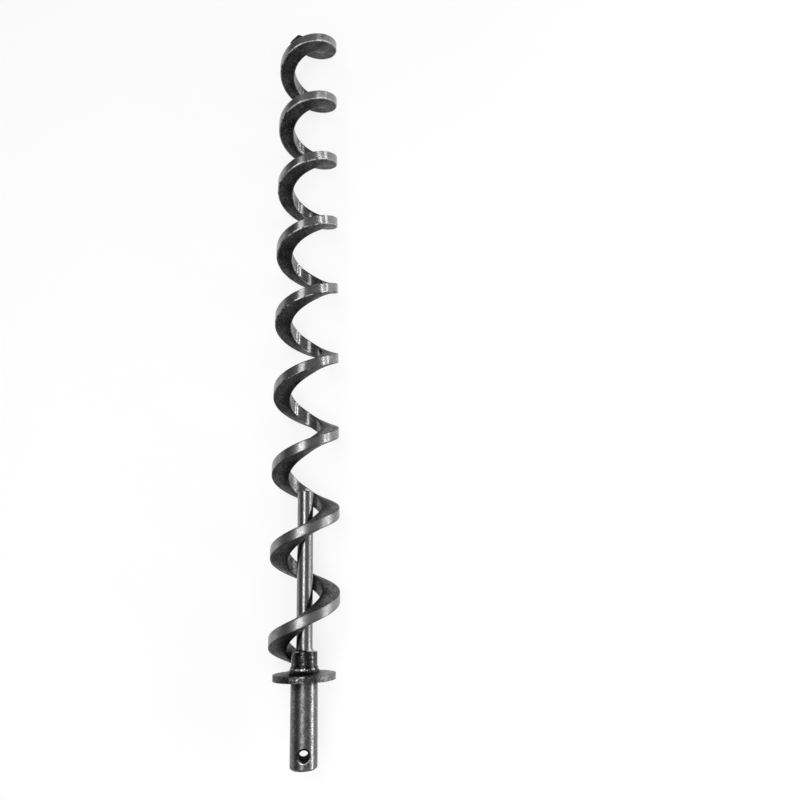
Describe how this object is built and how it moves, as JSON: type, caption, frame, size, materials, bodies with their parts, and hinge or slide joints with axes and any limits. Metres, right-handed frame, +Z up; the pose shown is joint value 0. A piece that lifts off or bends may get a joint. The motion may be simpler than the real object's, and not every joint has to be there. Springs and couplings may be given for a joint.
{
  "type": "screw conveyor auger",
  "caption": "Right-hand open spiral of edge-wound flat bar, welded to a short drive shaft with thrust flange, core rod and cross hole; feeds pellets or grain along a tube.",
  "frame": {"origin": "middle of the drive pin's cross hole, on the auger's axis", "axes": "+Y along the auger's axis, towards the free tip of the spiral; +Z up, along the cross hole, the auger lying on its side on the rims of its spiral; +X to the right"},
  "size_m": [0.0508, 0.6293, 0.0509],
  "materials": {
    "flight_steel": "dark rolled steel, worn smoother on the rim",
    "shaft_steel": "drawn bar, satin grey",
    "flange_steel": "dark, rough, scuffed rim",
    "rod_steel": "drawn rod, satin",
    "weld_metal": "dark, rough weld"
  },
  "bodies": {
    "root": {"spiral_flight": "flight_steel", "drive_shaft": "shaft_steel", "thrust_flange": "flange_steel", "core_rod": "rod_steel", "flight_weld": "weld_metal", "flange_weld": "weld_metal", "rod_weld": "weld_metal"}
  },
  "joints": []
}
